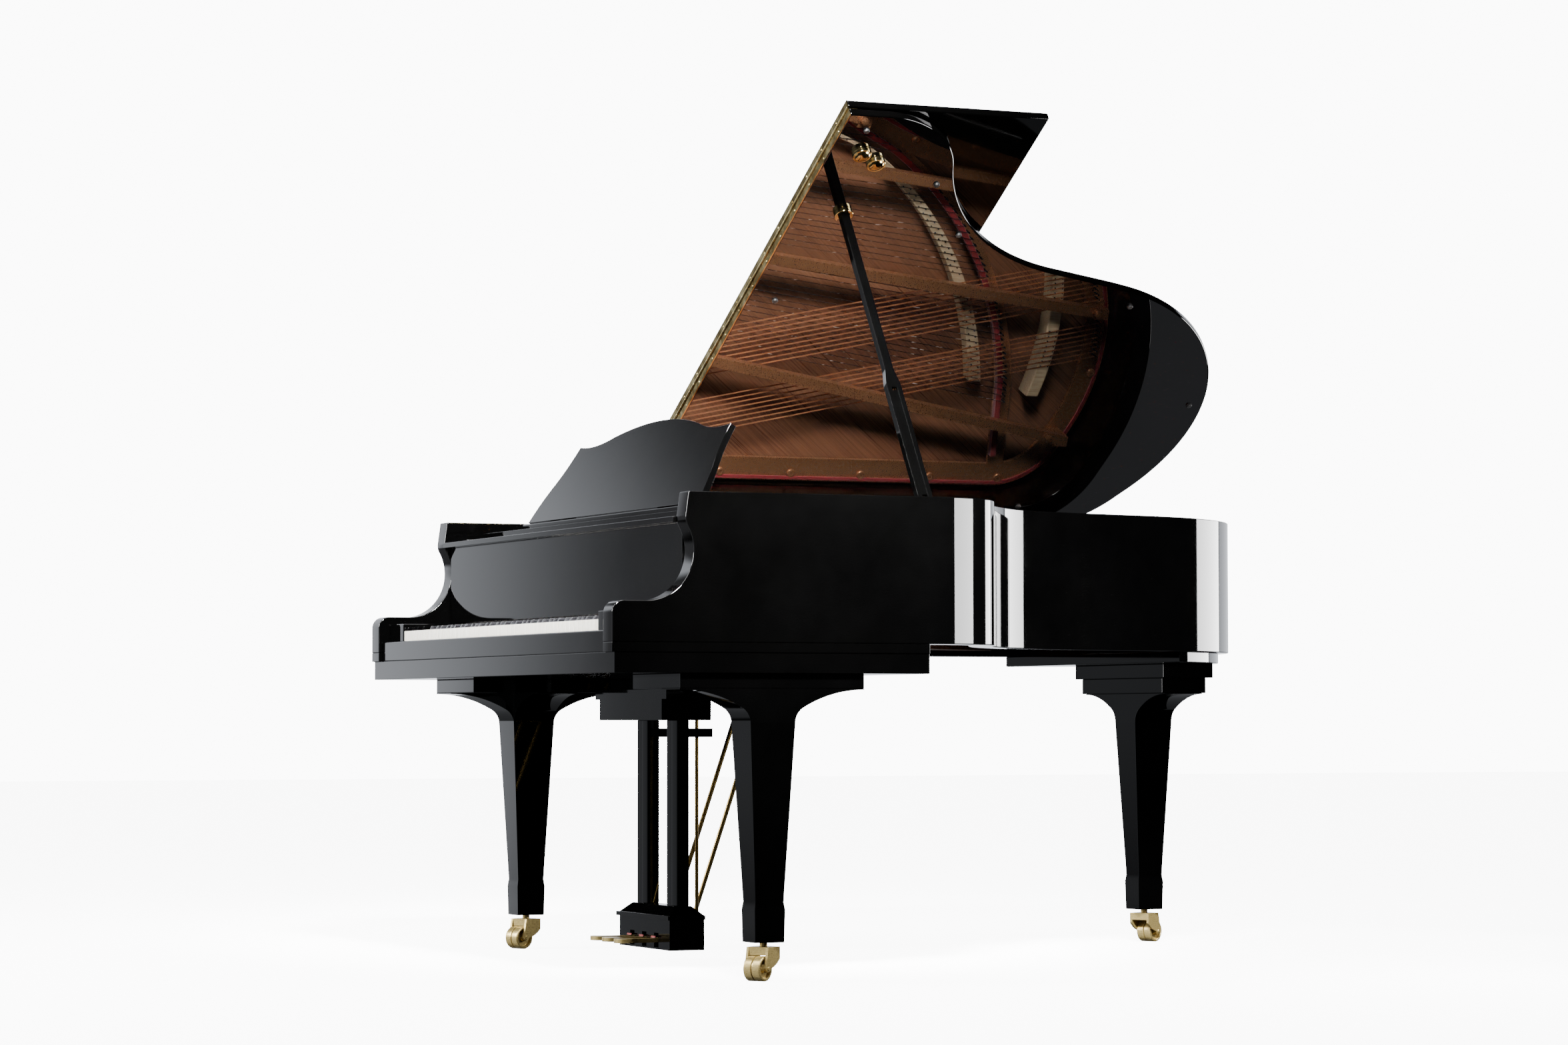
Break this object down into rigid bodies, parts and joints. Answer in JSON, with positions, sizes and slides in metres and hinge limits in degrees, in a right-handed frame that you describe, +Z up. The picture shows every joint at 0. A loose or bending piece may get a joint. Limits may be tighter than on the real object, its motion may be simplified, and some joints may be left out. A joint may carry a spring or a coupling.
{
  "type": "grand piano",
  "caption": "Grand piano in polished black with its curved lid raised on the prop, music desk up, open keyboard, pedal lyre and tapered legs on brass casters.",
  "frame": {"origin": "on the floor, on the centre line between the two arms, 1012 mm behind the fronts of the arms", "axes": "+X to the treble side (the player's right), +Y to the tail, +Z up"},
  "size_m": [1.5541, 1.975, 1.8563],
  "materials": {
    "black_polyester": "polished black polyester on wood",
    "rim_wood": "satin varnished maple and beech",
    "spruce": "varnished spruce",
    "bronzed_iron": "bronze-gold lacquer",
    "string_steel": "drawn steel wire",
    "copper_winding": "copper-wound wire",
    "ebony_black": "satin black",
    "ivory_white": "semi-gloss ivory white tops",
    "brass": "satin brass"
  },
  "bodies": {
    "case": {"outer_rim": "black_polyester", "inner_rim": "rim_wood", "keybed": "black_polyester", "key_slip": "black_polyester", "key_blocks": "black_polyester", "key_frame": "rim_wood", "belly_rail": "rim_wood", "case_beams": "rim_wood", "front_shelf": "black_polyester", "soundboard": "spruce", "soundboard_ribs": "spruce", "bridges": "rim_wood", "pin_block": "rim_wood", "iron_plate": "bronzed_iron", "plain_strings": "string_steel", "wound_strings": "copper_winding", "tuning_pins": "string_steel", "action_rack": "rim_wood", "rim_hinge_brackets": "brass", "prop_bracket": "brass", "front_leg_left": "black_polyester", "front_leg_right": "black_polyester", "rear_leg": "black_polyester", "leg_blocks": "black_polyester", "lyre_head": "black_polyester", "lyre_posts": "black_polyester", "pedal_box": "black_polyester", "lyre_braces": "brass"},
    "lid": {"lid_main": "black_polyester", "lid_hinge_leaves": "brass", "lid_cups": "brass", "flap_hinge": "brass"},
    "flap": {"lid_flap": "black_polyester"},
    "long_prop": {"prop_long": "black_polyester"},
    "short_prop": {"prop_short": "black_polyester"},
    "tray": {"desk_tray": "black_polyester"},
    "desk": {"music_desk": "black_polyester"},
    "brace": {"desk_brace": "black_polyester"},
    "fallboard": {"fallboard": "black_polyester"},
    "dampers": {"dampers": "black_polyester"},
    "keys_black": {"black_keys": "ebony_black"},
    "keys_a": {"white_keys_a": "ivory_white"},
    "keys_b": {"white_keys_b": "ivory_white"},
    "keys_c": {"white_keys_c": "ivory_white"},
    "keys_d": {"white_keys_d": "ivory_white"},
    "keys_e": {"white_keys_e": "ivory_white"},
    "keys_f": {"white_keys_f": "ivory_white"},
    "keys_g": {"white_keys_g": "ivory_white"},
    "pedal_left": {"pedal_left": "brass"},
    "rod_left": {"pedal_rod_left": "brass"},
    "pedal_middle": {"pedal_middle": "brass"},
    "rod_middle": {"pedal_rod_middle": "brass"},
    "pedal_right": {"pedal_right": "brass"},
    "rod_right": {"pedal_rod_right": "brass"},
    "fork_left": {"caster_fork_left": "brass"},
    "wheels_left": {"caster_wheels_left": "brass"},
    "fork_right": {"caster_fork_right": "brass"},
    "wheels_right": {"caster_wheels_right": "brass"},
    "fork_rear": {"caster_fork_rear": "brass"},
    "wheels_rear": {"caster_wheels_rear": "brass"}
  },
  "joints": [
    {"name": "lid_hinge", "type": "hinge", "parent": "case", "child": "lid", "pos_m": [-0.778, 0.138, 1.001], "axis": [0, -1, 0], "range_deg": [0, 28]},
    {"name": "flap_hinge", "type": "hinge", "parent": "lid", "child": "flap", "pos_m": [-0.7886, -0.38, 1.01796], "axis": [-0.848, 0, -0.5299], "range_deg": [-180, 0]},
    {"name": "long_prop_pivot", "type": "hinge", "parent": "case", "child": "long_prop", "pos_m": [0.685, -0.269, 0.965], "axis": [0, 1, 0], "range_deg": [-57, 0]},
    {"name": "short_prop_pivot", "type": "hinge", "parent": "long_prop", "child": "short_prop", "pos_m": [0.52338, -0.269, 1.22365], "axis": [0, 1, 0], "range_deg": [-120, 0]},
    {"name": "tray_slide", "type": "slide", "parent": "case", "child": "tray", "axis": [0, 1, 0], "range_m": [0, 0.15]},
    {"name": "desk_hinge", "type": "hinge", "parent": "tray", "child": "desk", "pos_m": [0, -0.706, 0.975], "axis": [1, 0, 0], "range_deg": [-59, 0]},
    {"name": "brace_hinge", "type": "hinge", "parent": "desk", "child": "brace", "pos_m": [0, -0.64419, 1.07786], "axis": [1, 0, 0], "range_deg": [0, 118]},
    {"name": "fallboard_hinge", "type": "hinge", "parent": "case", "child": "fallboard", "pos_m": [0, -0.831, 0.778], "axis": [-1, 0, 0], "range_deg": [-88, 0]},
    {"name": "damper_lift", "type": "slide", "parent": "case", "child": "dampers", "axis": [0, 0, 1], "range_m": [0, 0.0065]},
    {"name": "keys_a_balance", "type": "hinge", "parent": "case", "child": "keys_a", "pos_m": [0, -0.762, 0.717], "axis": [1, 0, 0], "range_deg": [0, 2.6], "stiffness_Nm_per_rad": 25, "springref_deg": -3.44},
    {"name": "keys_b_balance", "type": "hinge", "parent": "case", "child": "keys_b", "pos_m": [0, -0.762, 0.717], "axis": [1, 0, 0], "range_deg": [0, 2.6], "stiffness_Nm_per_rad": 25, "springref_deg": -3.44},
    {"name": "keys_c_balance", "type": "hinge", "parent": "case", "child": "keys_c", "pos_m": [0, -0.762, 0.717], "axis": [1, 0, 0], "range_deg": [0, 2.6], "stiffness_Nm_per_rad": 25, "springref_deg": -3.44},
    {"name": "keys_d_balance", "type": "hinge", "parent": "case", "child": "keys_d", "pos_m": [0, -0.762, 0.717], "axis": [1, 0, 0], "range_deg": [0, 2.6], "stiffness_Nm_per_rad": 25, "springref_deg": -3.44},
    {"name": "keys_e_balance", "type": "hinge", "parent": "case", "child": "keys_e", "pos_m": [0, -0.762, 0.717], "axis": [1, 0, 0], "range_deg": [0, 2.6], "stiffness_Nm_per_rad": 25, "springref_deg": -3.44},
    {"name": "keys_f_balance", "type": "hinge", "parent": "case", "child": "keys_f", "pos_m": [0, -0.762, 0.717], "axis": [1, 0, 0], "range_deg": [0, 2.6], "stiffness_Nm_per_rad": 25, "springref_deg": -3.44},
    {"name": "keys_g_balance", "type": "hinge", "parent": "case", "child": "keys_g", "pos_m": [0, -0.762, 0.717], "axis": [1, 0, 0], "range_deg": [0, 2.6], "stiffness_Nm_per_rad": 25, "springref_deg": -3.44},
    {"name": "keys_black_balance", "type": "hinge", "parent": "case", "child": "keys_black", "pos_m": [0, -0.762, 0.717], "axis": [1, 0, 0], "range_deg": [0, 2.6], "stiffness_Nm_per_rad": 25, "springref_deg": -3.44},
    {"name": "pedal_left_pivot", "type": "hinge", "parent": "case", "child": "pedal_left", "pos_m": [-0.07, -0.592, 0.054], "axis": [1, 0, 0], "range_deg": [0, 8], "stiffness_Nm_per_rad": 25, "springref_deg": -4.58},
    {"name": "rod_left_lift", "type": "slide", "parent": "case", "child": "rod_left", "axis": [0, 0, 1], "range_m": [0, 0.0085]},
    {"name": "pedal_middle_pivot", "type": "hinge", "parent": "case", "child": "pedal_middle", "pos_m": [0, -0.592, 0.054], "axis": [1, 0, 0], "range_deg": [0, 8], "stiffness_Nm_per_rad": 25, "springref_deg": -4.58},
    {"name": "rod_middle_lift", "type": "slide", "parent": "case", "child": "rod_middle", "axis": [0, 0, 1], "range_m": [0, 0.0085]},
    {"name": "pedal_right_pivot", "type": "hinge", "parent": "case", "child": "pedal_right", "pos_m": [0.07, -0.592, 0.054], "axis": [1, 0, 0], "range_deg": [0, 8], "stiffness_Nm_per_rad": 25, "springref_deg": -4.58},
    {"name": "rod_right_lift", "type": "slide", "parent": "case", "child": "rod_right", "axis": [0, 0, 1], "range_m": [0, 0.0085]},
    {"name": "caster_left_swivel", "type": "hinge", "parent": "case", "child": "fork_left", "pos_m": [-0.694, -0.652, 0.079], "axis": [0, 0, 1], "continuous": true},
    {"name": "caster_left_roll", "type": "hinge", "parent": "fork_left", "child": "wheels_left", "pos_m": [-0.68576, -0.6724, 0.026], "axis": [-0.9272, -0.3746, 0], "continuous": true},
    {"name": "caster_right_swivel", "type": "hinge", "parent": "case", "child": "fork_right", "pos_m": [0.694, -0.652, 0.079], "axis": [0, 0, 1], "continuous": true},
    {"name": "caster_right_roll", "type": "hinge", "parent": "fork_right", "child": "wheels_right", "pos_m": [0.7063, -0.67024, 0.026], "axis": [-0.829, -0.5592, 0], "continuous": true},
    {"name": "caster_rear_swivel", "type": "hinge", "parent": "case", "child": "fork_rear", "pos_m": [-0.345, 0.80621, 0.079], "axis": [0, 0, 1], "continuous": true},
    {"name": "caster_rear_roll", "type": "hinge", "parent": "fork_rear", "child": "wheels_rear", "pos_m": [-0.35533, 0.82563, 0.026], "axis": [0.8829, 0.4695, 0], "continuous": true}
  ],
  "couplings": [
    {"joint": "brace_hinge", "follows": "desk_hinge", "ratio": -2},
    {"joint": "rod_left_lift", "follows": "pedal_left_pivot", "m_per_rad": 0.055},
    {"joint": "rod_middle_lift", "follows": "pedal_middle_pivot", "m_per_rad": 0.055},
    {"joint": "rod_right_lift", "follows": "pedal_right_pivot", "m_per_rad": 0.055},
    {"joint": "damper_lift", "follows": "pedal_right_pivot", "m_per_rad": 0.043}
  ]
}
